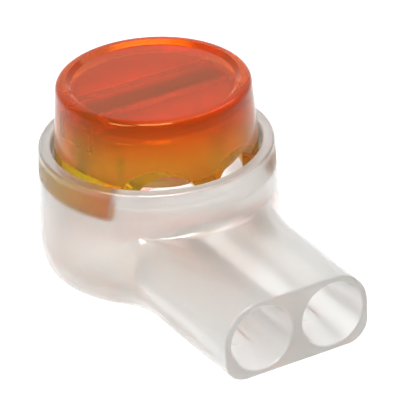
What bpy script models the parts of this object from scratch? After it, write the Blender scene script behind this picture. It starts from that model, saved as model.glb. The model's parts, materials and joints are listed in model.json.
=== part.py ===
"""Gel-filled two-wire connector: a clear body with two wire entries, an amber push cap,
a folded contact with insulation-piercing slots, and a fill of sealing gel.

Metres, +Z up. The origin is the middle of the cup's base. The wires enter from -Y.
The cap stands in its raised place, as supplied, before it is pressed onto the wires.
"""

import math

import bmesh
import bpy

MM = 0.001

# The cup of the body
CUP_RADIUS = 5.1 * MM
CUP_WALL = 0.55 * MM
FLOOR = 0.6 * MM
FLOOR_FILLET = 0.3 * MM
CUP_DRAFT = 0.22 * MM
CUP_EDGE_HEIGHT = 1.8 * MM
CUP_EDGE_INSET = 0.45 * MM
RIM_ROUND = 0.12 * MM

# The spout that holds the two wire entries
SPOUT_REACH = 11.35 * MM
SPOUT_HALF_WIDTH = 3.53 * MM
SPOUT_END_TAPER = 0.1 * MM
SPOUT_HEIGHT = 3.45 * MM
SPOUT_SHOULDER_RADIUS = 1.65 * MM
SPOUT_EDGE_RADIUS = 1.0 * MM
SPOUT_END_ROUND = 0.1 * MM
NECK_REACH = 2.1 * MM
FLARE_RADIUS = 3.8 * MM
TOP_FILLET = 0.5 * MM

# The wire entries
WIRE_PITCH = 3.4 * MM
BORE_RADIUS = 1.2 * MM
MOUTH_RADIUS = 1.45 * MM
MOUTH_DEPTH = 1.8 * MM
MOUTH_ROUND = 0.08 * MM

# The saddles that carry the wires on both sides of the contact, and the stop for their ends
SADDLE_GAP = 0.35 * MM
SADDLE_RISE = 0.15 * MM
WIRE_STOP = 1.9 * MM

# The fit of the cap in the cup, and its travel
TRAVEL = 2.8 * MM
CAP_PROUD = 0.13 * MM
FLOOR_CLEARANCE = 0.4 * MM
SLIDE_GAP = 0.04 * MM
LIP_STEP = 0.1 * MM
LIP_HEIGHT = 0.64 * MM
LIP_LEAD = 0.15 * MM
CATCH_GAP = 0.06 * MM
BEAD_DROP = 0.7 * MM
BEAD_HEIGHT = 0.25 * MM
BEAD_RAMP = 0.06 * MM

# The push cap
SKIRT_WALL = 0.73 * MM
CAP_DRAFT = 0.2 * MM
CAP_SHOULDER_RISE = 0.15 * MM
CAP_TOP_WALL = 0.85 * MM
TOP_RECESS = 0.16 * MM
TOP_LAND = 0.16 * MM
TOP_RAMP = 0.22 * MM
TOP_ROUND = 0.3 * MM
CEILING_FILLET = 0.35 * MM
ARCH_GAP = 0.05 * MM
ARCH_CLEARANCE = 0.2 * MM
WINDOW_HALF_ANGLE = 56
WINDOW_DROP = 0.75 * MM
WINDOW_CORNER = 0.6 * MM
SEAT_WALL = 0.4 * MM
SEAT_DROP = 1.0 * MM

# The folded contact
SHEET = 0.35 * MM
CONTACT_END_GAP = 0.46 * MM
CONTACT_DEPTH = 1.3 * MM
BEND_RADIUS = 0.12 * MM
SLOT_WIDTH = 0.32 * MM
SLOT_HEIGHT = 2.3 * MM
LEAD_IN_WIDTH = 1.3 * MM
LEAD_IN_HEIGHT = 0.45 * MM
TIP_CLEARANCE = 0.2 * MM
TIP_CHAMFER = 0.3 * MM
CONTACT_FIT = 0.1 * MM

# The gel keeps this far from the pieces that it fills, and above the saddles when pressed
GEL_FILM = 0.15 * MM
GEL_CLEARANCE = 0.3 * MM

# How finely curves are cut into facets
ROUND_STEPS = 72
BACK_STEPS = 28
FLARE_STEPS = 6
FRONT_STEPS = 16
EDGE_STEPS = 5
SHOULDER_STEPS = 6
FILLET_STEPS = 3
BEND_STEPS = 5
SLOT_STEPS = 10
BORE_STEPS = 36
OVERRUN = 1.0 * MM
BURIED = 0.2 * MM
MERGE = 1e-7

# Heights and radii that follow from the sizes above
SPOUT_JOIN = CUP_RADIUS + NECK_REACH
CUP_INNER_RADIUS = CUP_RADIUS - CUP_WALL
WIRE_AXIS_HEIGHT = SPOUT_HEIGHT / 2
WIRE_SIDES = (-WIRE_PITCH / 2, WIRE_PITCH / 2)
LIP_RADIUS = CUP_INNER_RADIUS - SLIDE_GAP
SKIRT_RADIUS = LIP_RADIUS - LIP_STEP
BEAD_RADIUS = SKIRT_RADIUS + SLIDE_GAP
SKIRT_INNER_RADIUS = SKIRT_RADIUS - SKIRT_WALL
CAP_BOTTOM = FLOOR + TRAVEL + FLOOR_CLEARANCE
LIP_TOP = CAP_BOTTOM + LIP_HEIGHT
BEAD_BOTTOM = LIP_TOP + CATCH_GAP
BEAD_TOP = BEAD_BOTTOM + BEAD_HEIGHT
CUP_HEIGHT = BEAD_TOP + BEAD_DROP
CAP_TOP = CUP_HEIGHT + TRAVEL + CAP_PROUD
CAP_TOP_RADIUS = SKIRT_RADIUS - CAP_DRAFT
CEILING = CAP_TOP - TOP_RECESS - CAP_TOP_WALL
ARCH_RADIUS = BORE_RADIUS + ARCH_GAP
ARCH_CROWN = WIRE_AXIS_HEIGHT + BORE_RADIUS + TRAVEL + ARCH_CLEARANCE
WINDOW_TOP = ARCH_CROWN - WINDOW_DROP
SADDLE_TOP = WIRE_AXIS_HEIGHT + SADDLE_RISE
SADDLE_REACH = SKIRT_INNER_RADIUS - SADDLE_GAP
SEAT_INNER = CONTACT_DEPTH / 2 + CONTACT_FIT
SEAT_OUTER = SEAT_INNER + SEAT_WALL
SEAT_BOTTOM = CEILING - SEAT_DROP
CONTACT_REACH = SKIRT_INNER_RADIUS - CONTACT_END_GAP
CONTACT_HALF_LENGTH = math.sqrt(CONTACT_REACH**2 - (CONTACT_DEPTH / 2) ** 2)
CONTACT_TOP = CEILING - CONTACT_FIT
CONTACT_TIP = FLOOR + TRAVEL + TIP_CLEARANCE
GEL_BOTTOM = SADDLE_TOP + TRAVEL + GEL_CLEARANCE

# The finish of each piece: name, colour with alpha, roughness and metallic value
CLEAR_PLASTIC = ("clear_plastic", (0.86, 0.85, 0.82, 0.45), 0.12, 0.0)
AMBER_PLASTIC = ("amber_plastic", (0.80, 0.24, 0.03, 0.85), 0.15, 0.0)
TINNED_METAL = ("tinned_metal", (0.72, 0.73, 0.75, 1.0), 0.3, 1.0)
SEALING_GEL = ("sealing_gel", (0.88, 0.87, 0.80, 0.3), 0.08, 0.0)


def clear_scene():
    for old in list(bpy.data.objects):
        bpy.data.objects.remove(old)


def finish_of(name, colour, roughness, metallic):
    """A Principled material with this colour, roughness and metallic value."""
    material = bpy.data.materials.new(name)
    material.use_nodes = True
    shader = material.node_tree.nodes["Principled BSDF"]
    shader.inputs["Base Color"].default_value = (*colour[:3], 1.0)
    shader.inputs["Alpha"].default_value = colour[3]
    shader.inputs["Roughness"].default_value = roughness
    shader.inputs["Metallic"].default_value = metallic
    return material


def object_from(name, bm, finish=None):
    """The bmesh as an object. Without a finish it is a helper that isn't rendered."""
    bmesh.ops.remove_doubles(bm, verts=bm.verts[:], dist=MERGE)
    bmesh.ops.recalc_face_normals(bm, faces=bm.faces[:])
    mesh = bpy.data.meshes.new(name)
    bm.to_mesh(mesh)
    bm.free()
    mesh.shade_smooth()
    mesh.set_sharp_from_angle(angle=math.radians(35))
    made = bpy.data.objects.new(name, mesh)
    bpy.context.scene.collection.objects.link(made)
    if finish is None:
        made.hide_render = True
        made.display_type = "WIRE"
    else:
        mesh.materials.append(finish_of(*finish))
    return made


def combine(target, helper, operation):
    """Adds the helper to the target, or cuts it away."""
    step = target.modifiers.new(helper.name, "BOOLEAN")
    step.operation = operation
    step.solver = "EXACT"
    step.object = helper


def split_faces(target):
    """Splits the faces into triangles, which are flat, so that the next cut is exact."""
    target.modifiers.new("triangles", "TRIANGULATE")


def arc(centre_a, centre_b, radius, start, end, steps):
    """Points along a round stretch, from one angle to another in degrees."""
    points = []
    for step in range(steps + 1):
        angle = math.radians(start + (end - start) * step / steps)
        points.append((centre_a + radius * math.cos(angle), centre_b + radius * math.sin(angle)))
    return points


def join_rings(bm, rings, closed):
    """Faces between each ring of vertices and the next."""
    for lower, upper in zip(rings, rings[1:]):
        last = len(lower) if closed else len(lower) - 1
        for i in range(last):
            j = (i + 1) % len(lower)
            bm.faces.new((lower[i], lower[j], upper[j], upper[i]))


def turned(profile, steps=ROUND_STEPS):
    """A solid turned about Z from (radius, height) points that start and end on the axis."""
    bm = bmesh.new()
    line = [bm.verts.new((radius, 0, height)) for radius, height in profile]
    edges = [bm.edges.new(pair) for pair in zip(line, line[1:])]
    bmesh.ops.spin(
        bm,
        geom=line + edges,
        cent=(0, 0, 0),
        axis=(0, 0, 1),
        angle=math.tau,
        steps=steps,
        use_duplicate=False,
    )
    return bm


def prism(outline, start, end, place):
    """A solid with a flat outline of (a, b) points, run from one depth to another."""
    bm = bmesh.new()
    near = [bm.verts.new(place(a, b, start)) for a, b in outline]
    far = [bm.verts.new(place(a, b, end)) for a, b in outline]
    join_rings(bm, [near, far], closed=True)
    bm.faces.new(near)
    bm.faces.new(far)
    return bm


def along_x(a, b, depth):
    return (depth, a, b)


def along_y(a, b, depth):
    return (a, depth, b)


def upright(a, b, depth):
    return (a, b, depth)


def block(half_x, half_y, low, high):
    """A plain block centred on Z, as a bmesh."""
    outline = [(-half_x, -half_y), (half_x, -half_y), (half_x, half_y), (-half_x, half_y)]
    return prism(outline, low, high, upright)


def section_side(half_width, inset=0.0):
    """The right side of the spout's section, from its lower flat to its upper flat, as (x, z)."""
    lower = SPOUT_EDGE_RADIUS
    upper = SPOUT_SHOULDER_RADIUS
    points = arc(half_width - lower, lower, lower - inset, -90, 0, EDGE_STEPS)
    shoulder = SPOUT_HEIGHT - upper
    points += arc(half_width - upper, shoulder, upper - inset, 0, 90, SHOULDER_STEPS)
    return points


def cup_radius_at(height):
    """The cup's outer radius: its wall leans out towards the base, and is rounded in at the base."""
    wall = CUP_RADIUS + CUP_DRAFT * (1 - height / CUP_HEIGHT)
    share = max(1 - height / CUP_EDGE_HEIGHT, 0.0)
    return wall - CUP_EDGE_INSET * (1 - math.sqrt(1 - share**2))


def flare_centre(neck_half_width, cup_radius):
    """The centre of the arc that blends the neck into the cup, in plan."""
    across = neck_half_width + FLARE_RADIUS
    reach = cup_radius + FLARE_RADIUS
    return across, -math.sqrt(reach**2 - across**2)


def flare_meets(neck_half_width, cup_radius):
    """The angle round the cup, in degrees from +X, at which the flare touches it."""
    across, back = flare_centre(neck_half_width, cup_radius)
    return math.degrees(math.atan2(back, across))


def lower_ring(bm, neck_half_width, height):
    """The body's outline at one height below the spout's top, open across the neck."""
    radius = cup_radius_at(height)
    across, back = flare_centre(neck_half_width, radius)
    meets = flare_meets(neck_half_width, radius)
    right = [(neck_half_width, -SPOUT_JOIN)]
    right += arc(across, back, FLARE_RADIUS, 180, 180 + meets, FLARE_STEPS)
    right += arc(0, 0, radius, meets, 90, BACK_STEPS)[1:]
    left = [(-x, y) for x, y in reversed(right[:-1])]
    return [bm.verts.new((x, y, height)) for x, y in right + left]


def upper_ring(bm, radius, height, meets, bulge=0.0):
    """A closed ring round the cup, from the right flare round the back to the front.

    In front it bulges over the spout's top, fully in the middle and not at all at the flares.
    """
    points = arc(0, 0, radius, meets, 180 - meets, 2 * BACK_STEPS)
    half = 90 + meets
    for step in range(1, FRONT_STEPS):
        turn = half * (2 * step / FRONT_STEPS - 1)
        fade = 1 - abs(turn) / half
        reach = radius + bulge * min(1.0, 2 * fade**2)
        angle = math.radians(turn - 90)
        points.append((reach * math.cos(angle), reach * math.sin(angle)))
    return [bm.verts.new((x, y, height)) for x, y in points]


def spout_section(bm, y, half_width, inset=0.0):
    """A closed ring of the spout's section, from its lower right round to its lower left."""
    right = section_side(half_width, inset)
    left = [(-x, z) for x, z in reversed(right)]
    return [bm.verts.new((x, y, z)) for x, z in right + left]


def outer_form():
    """The body's outside as one solid: cup, flares, spout and the fillet over the spout."""
    bm = bmesh.new()
    lower = [lower_ring(bm, x, z) for x, z in section_side(SPOUT_HALF_WIDTH)]
    join_rings(bm, lower, closed=False)
    bm.faces.new(lower[0])

    end_half_width = SPOUT_HALF_WIDTH - SPOUT_END_TAPER
    sections = [spout_section(bm, -SPOUT_JOIN, SPOUT_HALF_WIDTH)]
    for across, deep in arc(0, 0, SPOUT_END_ROUND, 0, 90, FILLET_STEPS):
        inset = SPOUT_END_ROUND - across
        y = -SPOUT_REACH + SPOUT_END_ROUND - deep
        sections.append(spout_section(bm, y, end_half_width, inset))
    join_rings(bm, sections, closed=True)
    bm.faces.new(sections[-1])

    neck_half_width = SPOUT_HALF_WIDTH - SPOUT_SHOULDER_RADIUS
    meets = flare_meets(neck_half_width, cup_radius_at(SPOUT_HEIGHT))
    upper = []
    for back, down in arc(0, 0, TOP_FILLET, 0, 90, FILLET_STEPS):
        height = SPOUT_HEIGHT + TOP_FILLET - back
        upper.append(upper_ring(bm, cup_radius_at(height), height, meets, TOP_FILLET - down))
    for across, rise in arc(0, 0, RIM_ROUND, 0, 90, FILLET_STEPS):
        radius = CUP_RADIUS - RIM_ROUND + across
        upper.append(upper_ring(bm, radius, CUP_HEIGHT - RIM_ROUND + rise, meets))
    join_rings(bm, upper, closed=True)
    bm.faces.new(upper[-1])

    # The spout's flat top, from the neck round both flares to the front of the cup
    front = upper[0][2 * BACK_STEPS + 1 :]
    right_flare = lower[-1][: FLARE_STEPS + 2]
    left_flare = lower[-1][-FLARE_STEPS - 2 :]
    bm.faces.new(right_flare + front[::-1] + left_flare)
    return bm


def cup_cavity():
    """The inside of the cup, with the bead that holds the cap in its raised place."""
    inner = CUP_INNER_RADIUS
    profile = [(0, FLOOR)]
    profile += arc(inner - FLOOR_FILLET, FLOOR + FLOOR_FILLET, FLOOR_FILLET, -90, 0, FILLET_STEPS)
    profile += [
        (inner, BEAD_BOTTOM),
        (BEAD_RADIUS, BEAD_BOTTOM + BEAD_RAMP),
        (BEAD_RADIUS, BEAD_TOP - BEAD_RAMP),
        (inner, BEAD_TOP),
    ]
    edge = CUP_HEIGHT - RIM_ROUND
    profile += arc(inner + RIM_ROUND, edge, RIM_ROUND, 180, 90, FILLET_STEPS)
    profile += [(inner + RIM_ROUND, CUP_HEIGHT + OVERRUN), (0, CUP_HEIGHT + OVERRUN)]
    return turned(profile)


def saddle(side):
    """One raised part of the cup's floor, in front of the contact (-1) or behind it (1)."""
    start = math.degrees(math.asin(SEAT_OUTER / SADDLE_REACH))
    outline = arc(0, 0, SADDLE_REACH, side * start, side * (180 - start), BACK_STEPS)
    return prism(outline, FLOOR - BURIED, SADDLE_TOP, upright)


def wire_entry(x):
    """The way of one wire: rounded mouth, tapered lead-in, bore, and a blind end in the saddle."""
    face = -SPOUT_REACH
    stations = [
        (face - OVERRUN, MOUTH_RADIUS + MOUTH_ROUND),
        (face, MOUTH_RADIUS + MOUTH_ROUND),
        (face + MOUTH_ROUND, MOUTH_RADIUS),
        (face + MOUTH_DEPTH, BORE_RADIUS),
        (WIRE_STOP, BORE_RADIUS),
    ]
    bm = bmesh.new()
    rings = []
    for y, radius in stations:
        circle = arc(x, WIRE_AXIS_HEIGHT, radius, 0, 360, BORE_STEPS)[:-1]
        rings.append([bm.verts.new((a, y, b)) for a, b in circle])
    join_rings(bm, rings, closed=True)
    bm.faces.new(rings[0])
    bm.faces.new(rings[-1])
    return bm


def make_body():
    body = object_from("body", outer_form(), CLEAR_PLASTIC)
    combine(body, object_from("cup_cavity", cup_cavity()), "DIFFERENCE")
    for side in (-1, 1):
        combine(body, object_from(f"saddle_{side}", saddle(side)), "UNION")
    for x in WIRE_SIDES:
        combine(body, object_from(f"wire_entry_{x:.4f}", wire_entry(x)), "DIFFERENCE")
    return body


def cap_form():
    """The outside of the cap: recessed top, drafted side, skirt and catch lip."""
    land = CAP_TOP_RADIUS - TOP_ROUND
    profile = [
        (0, CAP_TOP - TOP_RECESS),
        (land - TOP_LAND - TOP_RAMP, CAP_TOP - TOP_RECESS),
        (land - TOP_LAND, CAP_TOP),
    ]
    profile += arc(land, CAP_TOP - TOP_ROUND, TOP_ROUND, 90, 0, FILLET_STEPS)
    profile += [
        (SKIRT_RADIUS, CUP_HEIGHT + CAP_SHOULDER_RISE),
        (SKIRT_RADIUS, LIP_TOP + LIP_STEP / 2),
        (LIP_RADIUS, LIP_TOP - LIP_STEP / 2),
        (LIP_RADIUS, CAP_BOTTOM + LIP_LEAD),
        (LIP_RADIUS - LIP_LEAD, CAP_BOTTOM),
        (0, CAP_BOTTOM),
    ]
    return turned(profile)


def cap_cavity():
    """The inside of the cap, rounded at its ceiling."""
    inner = SKIRT_INNER_RADIUS
    corner = CEILING - CEILING_FILLET
    profile = [(0, CAP_BOTTOM - OVERRUN), (inner, CAP_BOTTOM - OVERRUN)]
    profile += arc(inner - CEILING_FILLET, corner, CEILING_FILLET, 0, 90, FILLET_STEPS)
    profile += [(0, CEILING)]
    return turned(profile)


def window_ring(bm, inset, height):
    """A ring of the front window: a wedge, seen from above, with both sides moved in by the inset."""
    half = math.radians(WINDOW_HALF_ANGLE)
    point = -inset / math.sin(half)
    front = -LIP_RADIUS - OVERRUN
    across = (point - front) * math.tan(half)
    outline = [(0, point), (across, front), (-across, front)]
    return [bm.verts.new((x, y, height)) for x, y in outline]


def front_window():
    """The opening that leaves the front of the skirt free of the spout's two wires."""
    bm = bmesh.new()
    rings = [window_ring(bm, 0, CAP_BOTTOM - OVERRUN)]
    for across, rise in arc(0, 0, WINDOW_CORNER, 0, 90, 2 * FILLET_STEPS):
        height = WINDOW_TOP - WINDOW_CORNER + rise
        rings.append(window_ring(bm, WINDOW_CORNER - across, height))
    join_rings(bm, rings, closed=True)
    bm.faces.new(rings[0])
    bm.faces.new(rings[-1])
    return bm


def wire_arch(x):
    """The arch over one wire, at the top of the front window, back to the cap's hollow middle."""
    spring = ARCH_CROWN - ARCH_RADIUS
    foot = spring - ARCH_RADIUS
    outline = arc(x, spring, ARCH_RADIUS, 0, 180, BORE_STEPS // 2)
    outline += [(x - ARCH_RADIUS, foot), (x + ARCH_RADIUS, foot)]
    return prism(outline, -LIP_RADIUS - OVERRUN, -SEAT_OUTER, along_y)


def make_cap():
    """The cap, with the walls inside its top that seat the contact."""
    cap = object_from("cap", cap_form(), AMBER_PLASTIC)
    combine(cap, object_from("cap_cavity", cap_cavity()), "DIFFERENCE")
    seat = block(SKIRT_INNER_RADIUS + BURIED, SEAT_OUTER, SEAT_BOTTOM, CEILING + BURIED)
    combine(cap, object_from("contact_seat", seat), "UNION")
    pocket = block(CONTACT_HALF_LENGTH + CONTACT_FIT, SEAT_INNER, SEAT_BOTTOM - OVERRUN, CEILING)
    combine(cap, object_from("contact_pocket", pocket), "DIFFERENCE")
    split_faces(cap)
    combine(cap, object_from("front_window", front_window()), "DIFFERENCE")
    for x in WIRE_SIDES:
        split_faces(cap)
        combine(cap, object_from(f"wire_arch_{x:.4f}", wire_arch(x)), "DIFFERENCE")
    return cap


def folded_strip():
    """The contact before it is notched: sheet folded into an upturned U along X."""
    outer = CONTACT_DEPTH / 2
    inner = outer - SHEET
    bend = BEND_RADIUS
    crown = CONTACT_TOP - SHEET - bend
    outline = [(-outer, CONTACT_TIP), (-inner, CONTACT_TIP)]
    outline += arc(bend - inner, crown, bend, 180, 90, BEND_STEPS)
    outline += arc(inner - bend, crown, bend, 90, 0, BEND_STEPS)
    outline += [(inner, CONTACT_TIP), (outer, CONTACT_TIP)]
    outline += arc(inner - bend, crown, bend + SHEET, 0, 90, BEND_STEPS)
    outline += arc(bend - inner, crown, bend + SHEET, 90, 180, BEND_STEPS)
    return prism(outline, -CONTACT_HALF_LENGTH, CONTACT_HALF_LENGTH, along_x)


def slot_outline(x):
    """One slot seen along Y: a flared lead-in at the tip, straight sides and a round end."""
    crown = CONTACT_TIP + SLOT_HEIGHT - SLOT_WIDTH / 2
    throat = CONTACT_TIP + LEAD_IN_HEIGHT
    points = [(x - LEAD_IN_WIDTH / 2, CONTACT_TIP), (x - SLOT_WIDTH / 2, throat)]
    points += arc(x, crown, SLOT_WIDTH / 2, 180, 0, SLOT_STEPS)
    points += [(x + SLOT_WIDTH / 2, throat), (x + LEAD_IN_WIDTH / 2, CONTACT_TIP)]
    points += [(x + LEAD_IN_WIDTH / 2, CONTACT_TIP - OVERRUN)]
    points += [(x - LEAD_IN_WIDTH / 2, CONTACT_TIP - OVERRUN)]
    return points


def corner_outline(side):
    """The chamfer at one end of the tips, seen along Y, as a triangle that reaches past them."""
    beyond = CONTACT_HALF_LENGTH + OVERRUN
    return [
        (side * (beyond - TIP_CHAMFER - 2 * OVERRUN), CONTACT_TIP - OVERRUN),
        (side * beyond, CONTACT_TIP - OVERRUN),
        (side * beyond, CONTACT_TIP + TIP_CHAMFER + OVERRUN),
    ]


def make_contact():
    contact = object_from("contact", folded_strip(), TINNED_METAL)
    depth = CONTACT_DEPTH / 2 + OVERRUN
    for x in WIRE_SIDES:
        slot = prism(slot_outline(x), -depth, depth, along_y)
        combine(contact, object_from(f"slot_{x:.4f}", slot), "DIFFERENCE")
    for side in (-1, 1):
        corner = prism(corner_outline(side), -depth, depth, along_y)
        combine(contact, object_from(f"tip_corner_{side}", corner), "DIFFERENCE")
    return contact


def make_gel():
    """The fill of the cap, with room for the contact and its seat."""
    radius = SKIRT_INNER_RADIUS - GEL_FILM
    top = CEILING - GEL_FILM
    corner = top - CEILING_FILLET
    profile = [(0, GEL_BOTTOM), (radius, GEL_BOTTOM)]
    profile += arc(radius - CEILING_FILLET, corner, CEILING_FILLET, 0, 90, FILLET_STEPS)
    profile += [(0, top)]
    gel = object_from("gel", turned(profile), SEALING_GEL)
    past = CEILING + OVERRUN
    room = block(radius + OVERRUN, SEAT_OUTER + GEL_FILM, SEAT_BOTTOM - GEL_FILM, past)
    combine(gel, object_from("seat_room", room), "DIFFERENCE")
    window_length = CONTACT_HALF_LENGTH + GEL_FILM
    window_depth = CONTACT_DEPTH / 2 + GEL_FILM
    window = block(window_length, window_depth, GEL_BOTTOM - OVERRUN, past)
    combine(gel, object_from("contact_window", window), "DIFFERENCE")
    return gel


def main():
    clear_scene()
    make_body()
    slide = bpy.data.objects.new("cap_slide", None)
    bpy.context.scene.collection.objects.link(slide)
    for piece in (make_cap(), make_contact(), make_gel()):
        piece.parent = slide


main()
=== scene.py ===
# %% [markdown]
# # A gel-filled wire connector
# The real object joins two thin wires without stripping them. A clear moulded body takes the
# wires in a flat spout. An amber cap stands raised in the body's round cup, and pliers press it
# down. A folded contact in the cap then cuts through the insulation, and a clear gel keeps water
# out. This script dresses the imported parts: it makes finer meshes of the same shapes, gives
# each one its finish, and sets up the camera and the light.

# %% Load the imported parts
import json
import math

import bmesh
import bpy
from mathutils import Matrix, Vector

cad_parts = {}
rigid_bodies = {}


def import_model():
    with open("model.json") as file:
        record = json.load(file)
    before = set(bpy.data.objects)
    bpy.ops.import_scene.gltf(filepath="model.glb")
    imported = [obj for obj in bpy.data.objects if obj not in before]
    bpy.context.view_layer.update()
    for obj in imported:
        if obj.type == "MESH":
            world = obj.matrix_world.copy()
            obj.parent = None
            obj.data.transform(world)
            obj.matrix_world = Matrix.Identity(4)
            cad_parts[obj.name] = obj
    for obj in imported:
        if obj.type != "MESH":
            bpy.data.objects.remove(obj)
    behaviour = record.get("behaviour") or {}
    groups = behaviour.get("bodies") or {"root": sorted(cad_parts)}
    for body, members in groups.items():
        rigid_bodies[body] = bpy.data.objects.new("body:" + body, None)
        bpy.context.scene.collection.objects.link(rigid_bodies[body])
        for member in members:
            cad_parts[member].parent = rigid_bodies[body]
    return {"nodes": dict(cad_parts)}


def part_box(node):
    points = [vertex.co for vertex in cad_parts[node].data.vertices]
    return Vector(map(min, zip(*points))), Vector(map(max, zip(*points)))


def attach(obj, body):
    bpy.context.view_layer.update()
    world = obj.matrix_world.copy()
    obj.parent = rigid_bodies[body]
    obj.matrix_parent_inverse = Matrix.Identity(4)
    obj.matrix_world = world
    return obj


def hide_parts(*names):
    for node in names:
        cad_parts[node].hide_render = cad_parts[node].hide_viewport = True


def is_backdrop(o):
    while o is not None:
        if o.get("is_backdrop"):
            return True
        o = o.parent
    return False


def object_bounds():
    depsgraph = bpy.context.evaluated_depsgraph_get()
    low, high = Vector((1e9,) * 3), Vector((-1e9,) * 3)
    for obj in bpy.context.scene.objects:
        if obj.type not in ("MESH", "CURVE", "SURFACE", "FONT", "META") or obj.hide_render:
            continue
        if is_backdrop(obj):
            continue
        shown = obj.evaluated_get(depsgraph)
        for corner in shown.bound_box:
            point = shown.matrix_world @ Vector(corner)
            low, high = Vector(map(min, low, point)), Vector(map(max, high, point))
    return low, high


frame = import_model()
cad_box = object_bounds()
MM = 0.001
print("parts:", sorted(frame["nodes"]))
print("box in mm:", [round(v / MM, 2) for corner in cad_box for v in corner])

# %% [markdown]
# ## The camera
# The photograph is a long-lens view from above the spout's left. The camera could be placed by
# eye, but the outlines of a known shape fix it better. So its angles, its distance and its focal
# length come from a fit of the part's own edges to the picture. The target is the point in the
# middle of the picture. A small roll is left in, because the photograph has one.

# %% Place the camera
AZIMUTH = math.radians(-29.177)
ELEVATION = math.radians(29.009)
ROLL = math.radians(-2.576)
DISTANCE = 146.05 * MM
FOCAL_LENGTH = 299.94
SENSOR_WIDTH = 36.0
TARGET = Vector((2.020, 0.006, 1.786)) * MM


def camera_turn():
    """The camera's axes as the columns of a turn: right, up, and back from the target."""
    level = Vector((math.cos(AZIMUTH), math.sin(AZIMUTH), 0))
    back = Vector((math.sin(AZIMUTH), -math.cos(AZIMUTH), 0)) * math.cos(ELEVATION)
    back.z = math.sin(ELEVATION)
    upward = back.cross(level)
    right = level * math.cos(ROLL) + upward * math.sin(ROLL)
    up = upward * math.cos(ROLL) - level * math.sin(ROLL)
    return Matrix((right, up, back)).transposed()


turn = camera_turn()
lens = bpy.data.cameras.new("camera")
lens.lens = FOCAL_LENGTH
lens.sensor_width = SENSOR_WIDTH
lens.clip_start = 1 * MM
lens.clip_end = 10000 * MM
camera = bpy.data.objects.new("camera", lens)
camera.matrix_world = Matrix.Translation(TARGET + turn.col[2] * DISTANCE) @ turn.to_4x4()
bpy.context.scene.collection.objects.link(camera)
bpy.context.scene.camera = camera
bpy.context.scene.view_settings.view_transform = "Standard"
print("camera at, in mm:", [round(v / MM, 1) for v in camera.matrix_world.translation])

# %% [markdown]
# ## The sizes
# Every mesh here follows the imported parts, so their outer sizes are read from the parts' boxes.
# Walls, radii and clearances don't show in a box, so they are named here in millimetres, as a
# moulder would write them on the drawing.

# %% Read the sizes from the parts
body_low, body_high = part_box("body")
cap_low, cap_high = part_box("cap")
contact_low, contact_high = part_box("contact")
gel_low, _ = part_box("gel")

CUP_HEIGHT = body_high.z
SPOUT_REACH = -body_low.y
LIP_RADIUS = cap_high.x
CAP_BOTTOM = cap_low.z
CAP_TOP = cap_high.z
CONTACT_HALF_LENGTH = contact_high.x
CONTACT_HALF_DEPTH = contact_high.y
CONTACT_TIP = contact_low.z
CONTACT_TOP = contact_high.z
GEL_BOTTOM = gel_low.z
print("cup height and cap top in mm:", round(CUP_HEIGHT / MM, 3), round(CAP_TOP / MM, 3))

# %% Name the sizes of the body
CUP_WALL = 0.55 * MM
FLOOR = 0.6 * MM
FLOOR_FILLET = 0.3 * MM
SLIDE_GAP = 0.04 * MM
CUP_DRAFT = 0.22 * MM
CUP_EDGE_HEIGHT = 1.8 * MM
CUP_EDGE_INSET = 0.45 * MM
RIM_ROUND = 0.12 * MM
SPOUT_HALF_WIDTH = 3.53 * MM
SPOUT_END_TAPER = 0.1 * MM
SPOUT_HEIGHT = 3.45 * MM
SPOUT_SHOULDER_RADIUS = 1.65 * MM
SPOUT_EDGE_RADIUS = 1.0 * MM
SPOUT_END_ROUND = 0.1 * MM
NECK_REACH = 2.1 * MM
FLARE_RADIUS = 3.8 * MM
TOP_FILLET = 0.5 * MM
WIRE_PITCH = 3.4 * MM
BORE_RADIUS = 1.2 * MM
MOUTH_RADIUS = 1.45 * MM
MOUTH_DEPTH = 1.8 * MM
MOUTH_ROUND = 0.08 * MM
SADDLE_TOP = 1.875 * MM
SADDLE_REACH = 3.33 * MM
WIRE_STOP = 1.9 * MM
BEAD_STAND = 0.1 * MM
BEAD_DROP = 0.7 * MM
BEAD_HEIGHT = 0.25 * MM
BEAD_RAMP = 0.06 * MM
OVERRUN = 1.0 * MM
BURIED = 0.2 * MM

CUP_INNER_RADIUS = LIP_RADIUS + SLIDE_GAP
CUP_RADIUS = CUP_INNER_RADIUS + CUP_WALL
SPOUT_JOIN = CUP_RADIUS + NECK_REACH
WIRE_AXIS_HEIGHT = SPOUT_HEIGHT / 2
print("spout reaches, in mm:", round(SPOUT_REACH / MM, 3))

# %% Name the sizes of the cap, the contact and the gel
LIP_STEP = 0.1 * MM
LIP_HEIGHT = 0.64 * MM
LIP_LEAD = 0.15 * MM
SKIRT_WALL = 0.73 * MM
CAP_DRAFT = 0.2 * MM
CAP_SHOULDER_RISE = 0.15 * MM
CAP_TOP_WALL = 0.85 * MM
TOP_RECESS = 0.16 * MM
TOP_LAND = 0.16 * MM
TOP_RAMP = 0.22 * MM
TOP_ROUND = 0.3 * MM
CEILING_FILLET = 0.35 * MM
ARCH_RADIUS = 1.25 * MM
ARCH_CROWN = 5.925 * MM
WINDOW_HALF_ANGLE = 56
WINDOW_TOP = 5.175 * MM
WINDOW_CORNER = 0.6 * MM
SEAT_INNER = 0.75 * MM
SEAT_OUTER = 1.15 * MM
SEAT_DROP = 1.0 * MM
CONTACT_FIT = 0.1 * MM
SHEET = 0.35 * MM
BEND_RADIUS = 0.12 * MM
SLOT_WIDTH = 0.32 * MM
SLOT_HEIGHT = 2.3 * MM
LEAD_IN_WIDTH = 1.3 * MM
LEAD_IN_HEIGHT = 0.45 * MM
TIP_CHAMFER = 0.3 * MM
SHEET_EDGE = 0.03 * MM
GEL_BOND = 0.01 * MM
GEL_RIPPLE = 0.16 * MM

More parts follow.
